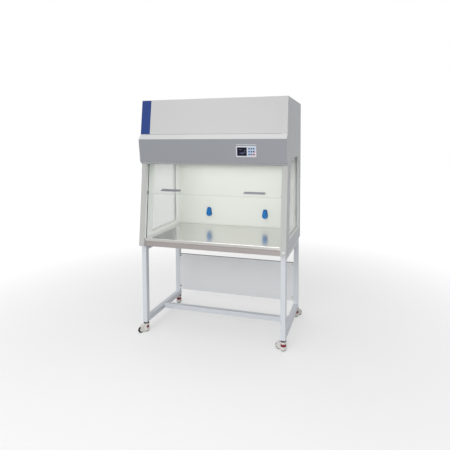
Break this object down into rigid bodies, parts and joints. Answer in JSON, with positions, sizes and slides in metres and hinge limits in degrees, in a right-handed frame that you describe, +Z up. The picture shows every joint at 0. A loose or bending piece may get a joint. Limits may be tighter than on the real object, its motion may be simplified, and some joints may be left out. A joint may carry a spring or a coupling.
{
  "type": "laminar flow clean bench",
  "caption": "Vertical laminar flow clean bench with a sliding glass sash and glazed sides, on a square-tube stand with levelling casters.",
  "frame": {"origin": "on the floor under the middle of the bench, the bottom centre of its bounding box", "axes": "+Z up, +Y towards the back (the front with the sash faces -Y), +X to the right of someone facing the front"},
  "size_m": [1.2808, 0.7164, 1.95],
  "materials": {
    "cabinet_paint": "fine satin powder coat, light grey",
    "fascia_paint": "fine satin powder coat, mid grey",
    "stand_paint": "satin powder coat, off-white",
    "chamber_liner": "smooth satin, pale",
    "brushed_stainless": "brushed across the width",
    "apron_stainless": "brushed across the width",
    "safety_glass": "clear with a faint green edge",
    "black_plastic": "moulded",
    "handle_grey": "anodised",
    "panel_film": "printed membrane film, satin",
    "display_black": "glossy dark window",
    "key_brown": "domed key",
    "key_teal": "domed key",
    "key_slate": "domed key",
    "key_blue": "domed key",
    "key_navy": "domed key",
    "key_black": "domed key",
    "key_red": "domed key",
    "filter_media": "pleated glass paper in a painted frame",
    "prefilter_pad": "open fibre pad",
    "galvanised_sheet": "zinc spangle",
    "fan_steel": "galvanised",
    "motor_cast": "painted casting",
    "lamp_reflector": "gloss white",
    "lamp_tube": "phosphor-coated tube",
    "socket_body": "moulded",
    "socket_blue": "moulded, glossy",
    "zinc_steel": "bright zinc",
    "caster_plastic": "moulded nylon, off-white",
    "wheel_nylon": "moulded nylon",
    "dial_red": "moulded, maroon red",
    "foot_rubber": "moulded"
  },
  "bodies": {
    "cabinet": {"left_side_panel": "cabinet_paint", "right_side_panel": "cabinet_paint", "left_side_glass": "safety_glass", "right_side_glass": "safety_glass", "back_wall": "chamber_liner", "rear_cover": "cabinet_paint", "top_cover": "cabinet_paint", "upper_front_panel": "cabinet_paint", "fascia": "fascia_paint", "control_panel": "panel_film", "lcd_display": "display_black", "worktop": "brushed_stainless", "base_tray": "apron_stainless", "sash_guides": "black_plastic", "hepa_filter": "filter_media", "diffuser_screen": "chamber_liner", "plenum_box": "galvanised_sheet", "prefilter": "prefilter_pad", "blower_housing": "galvanised_sheet", "blower_motor": "motor_cast", "lamp_tray": "lamp_reflector", "lamp_tubes": "lamp_tube", "left_socket": "socket_body", "right_socket": "socket_body", "left_leg_frame": "stand_paint", "right_leg_frame": "stand_paint", "cross_bar": "stand_paint", "rear_panel": "stand_paint", "caster_stems": "zinc_steel"},
    "sash": {"sash_glass": "safety_glass", "left_sash_handle": "handle_grey", "right_sash_handle": "handle_grey"},
    "key_1": {"key_1": "key_brown"},
    "key_2": {"key_2": "key_teal"},
    "key_3": {"key_3": "key_slate"},
    "key_4": {"key_4": "key_blue"},
    "key_5": {"key_5": "key_navy"},
    "key_6": {"key_6": "key_black"},
    "key_7": {"key_7": "key_blue"},
    "key_8": {"key_8": "key_black"},
    "key_9": {"key_9": "key_red"},
    "left_socket_lid": {"left_socket_lid": "socket_blue"},
    "right_socket_lid": {"right_socket_lid": "socket_blue"},
    "blower_wheel": {"blower_wheel": "fan_steel"},
    "front_left_caster": {"front_left_caster_housing": "caster_plastic"},
    "front_left_wheel": {"front_left_caster_wheel": "wheel_nylon"},
    "front_left_dial": {"front_left_caster_dial": "dial_red"},
    "front_left_foot": {"front_left_caster_foot": "foot_rubber"},
    "front_right_caster": {"front_right_caster_housing": "caster_plastic"},
    "front_right_wheel": {"front_right_caster_wheel": "wheel_nylon"},
    "front_right_dial": {"front_right_caster_dial": "dial_red"},
    "front_right_foot": {"front_right_caster_foot": "foot_rubber"},
    "rear_left_caster": {"rear_left_caster_housing": "caster_plastic"},
    "rear_left_wheel": {"rear_left_caster_wheel": "wheel_nylon"},
    "rear_left_dial": {"rear_left_caster_dial": "dial_red"},
    "rear_left_foot": {"rear_left_caster_foot": "foot_rubber"},
    "rear_right_caster": {"rear_right_caster_housing": "caster_plastic"},
    "rear_right_wheel": {"rear_right_caster_wheel": "wheel_nylon"},
    "rear_right_dial": {"rear_right_caster_dial": "dial_red"},
    "rear_right_foot": {"rear_right_caster_foot": "foot_rubber"}
  },
  "joints": [
    {"name": "sash_slide", "type": "slide", "parent": "cabinet", "child": "sash", "axis": [0, 0.0958, 0.9954], "range_m": [-0.36, 0.125]},
    {"name": "key_1_press", "type": "slide", "parent": "cabinet", "child": "key_1", "axis": [0, 0.9943, 0.1069], "range_m": [0, 0.001], "stiffness_N_per_m": 400, "springref_m": -0.0005},
    {"name": "key_2_press", "type": "slide", "parent": "cabinet", "child": "key_2", "axis": [0, 0.9943, 0.1069], "range_m": [0, 0.001], "stiffness_N_per_m": 400, "springref_m": -0.0005},
    {"name": "key_3_press", "type": "slide", "parent": "cabinet", "child": "key_3", "axis": [0, 0.9943, 0.1069], "range_m": [0, 0.001], "stiffness_N_per_m": 400, "springref_m": -0.0005},
    {"name": "key_4_press", "type": "slide", "parent": "cabinet", "child": "key_4", "axis": [0, 0.9943, 0.1069], "range_m": [0, 0.001], "stiffness_N_per_m": 400, "springref_m": -0.0005},
    {"name": "key_5_press", "type": "slide", "parent": "cabinet", "child": "key_5", "axis": [0, 0.9943, 0.1069], "range_m": [0, 0.001], "stiffness_N_per_m": 400, "springref_m": -0.0005},
    {"name": "key_6_press", "type": "slide", "parent": "cabinet", "child": "key_6", "axis": [0, 0.9943, 0.1069], "range_m": [0, 0.001], "stiffness_N_per_m": 400, "springref_m": -0.0005},
    {"name": "key_7_press", "type": "slide", "parent": "cabinet", "child": "key_7", "axis": [0, 0.9943, 0.1069], "range_m": [0, 0.001], "stiffness_N_per_m": 400, "springref_m": -0.0005},
    {"name": "key_8_press", "type": "slide", "parent": "cabinet", "child": "key_8", "axis": [0, 0.9943, 0.1069], "range_m": [0, 0.001], "stiffness_N_per_m": 400, "springref_m": -0.0005},
    {"name": "key_9_press", "type": "slide", "parent": "cabinet", "child": "key_9", "axis": [0, 0.9943, 0.1069], "range_m": [0, 0.001], "stiffness_N_per_m": 400, "springref_m": -0.0005},
    {"name": "left_lid_hinge", "type": "hinge", "parent": "cabinet", "child": "left_socket_lid", "pos_m": [-0.26, 0.287, 0.972], "axis": [-1, 0, 0], "range_deg": [0, 100]},
    {"name": "right_lid_hinge", "type": "hinge", "parent": "cabinet", "child": "right_socket_lid", "pos_m": [0.297, 0.287, 0.972], "axis": [-1, 0, 0], "range_deg": [0, 100]},
    {"name": "blower_spin", "type": "hinge", "parent": "cabinet", "child": "blower_wheel", "pos_m": [0, 0.11, 1.792], "axis": [1, 0, 0], "continuous": true},
    {"name": "front_left_swivel", "type": "hinge", "parent": "cabinet", "child": "front_left_caster", "pos_m": [-0.593, -0.296, 0.066], "axis": [0, 0, 1], "continuous": true},
    {"name": "front_left_wheel_spin", "type": "hinge", "parent": "front_left_caster", "child": "front_left_wheel", "pos_m": [-0.61996, -0.3345, 0.024], "axis": [-0.8192, 0.5736, 0], "continuous": true},
    {"name": "front_left_dial_turn", "type": "hinge", "parent": "front_left_caster", "child": "front_left_dial", "pos_m": [-0.593, -0.296, 0.046], "axis": [0, 0, 1], "range_deg": [0, 2050]},
    {"name": "front_left_foot_slide", "type": "slide", "parent": "front_left_caster", "child": "front_left_foot", "axis": [0, 0, 1], "range_m": [-0.01, 0]},
    {"name": "front_right_swivel", "type": "hinge", "parent": "cabinet", "child": "front_right_caster", "pos_m": [0.593, -0.296, 0.066], "axis": [0, 0, 1], "continuous": true},
    {"name": "front_right_wheel_spin", "type": "hinge", "parent": "front_right_caster", "child": "front_right_wheel", "pos_m": [0.55076, -0.2754, 0.024], "axis": [0.4384, 0.8988, 0], "continuous": true},
    {"name": "front_right_dial_turn", "type": "hinge", "parent": "front_right_caster", "child": "front_right_dial", "pos_m": [0.593, -0.296, 0.046], "axis": [0, 0, 1], "range_deg": [0, 2050]},
    {"name": "front_right_foot_slide", "type": "slide", "parent": "front_right_caster", "child": "front_right_foot", "axis": [0, 0, 1], "range_m": [-0.01, 0]},
    {"name": "rear_left_swivel", "type": "hinge", "parent": "cabinet", "child": "rear_left_caster", "pos_m": [-0.593, 0.296, 0.066], "axis": [0, 0, 1], "continuous": true},
    {"name": "rear_left_wheel_spin", "type": "hinge", "parent": "rear_left_caster", "child": "rear_left_wheel", "pos_m": [-0.61996, 0.3345, 0.024], "axis": [0.8192, 0.5736, 0], "continuous": true},
    {"name": "rear_left_dial_turn", "type": "hinge", "parent": "rear_left_caster", "child": "rear_left_dial", "pos_m": [-0.593, 0.296, 0.046], "axis": [0, 0, 1], "range_deg": [0, 2050]},
    {"name": "rear_left_foot_slide", "type": "slide", "parent": "rear_left_caster", "child": "rear_left_foot", "axis": [0, 0, 1], "range_m": [-0.01, 0]},
    {"name": "rear_right_swivel", "type": "hinge", "parent": "cabinet", "child": "rear_right_caster", "pos_m": [0.593, 0.296, 0.066], "axis": [0, 0, 1], "continuous": true},
    {"name": "rear_right_wheel_spin", "type": "hinge", "parent": "rear_right_caster", "child": "rear_right_wheel", "pos_m": [0.61996, 0.3345, 0.024], "axis": [0.8192, -0.5736, 0], "continuous": true},
    {"name": "rear_right_dial_turn", "type": "hinge", "parent": "rear_right_caster", "child": "rear_right_dial", "pos_m": [0.593, 0.296, 0.046], "axis": [0, 0, 1], "range_deg": [0, 2050]},
    {"name": "rear_right_foot_slide", "type": "slide", "parent": "rear_right_caster", "child": "rear_right_foot", "axis": [0, 0, 1], "range_m": [-0.01, 0]}
  ],
  "couplings": [
    {"joint": "front_left_foot_slide", "follows": "front_left_dial_turn", "m_per_rad": -0.00027852},
    {"joint": "front_right_foot_slide", "follows": "front_right_dial_turn", "m_per_rad": -0.00027852},
    {"joint": "rear_left_foot_slide", "follows": "rear_left_dial_turn", "m_per_rad": -0.00027852},
    {"joint": "rear_right_foot_slide", "follows": "rear_right_dial_turn", "m_per_rad": -0.00027852}
  ]
}
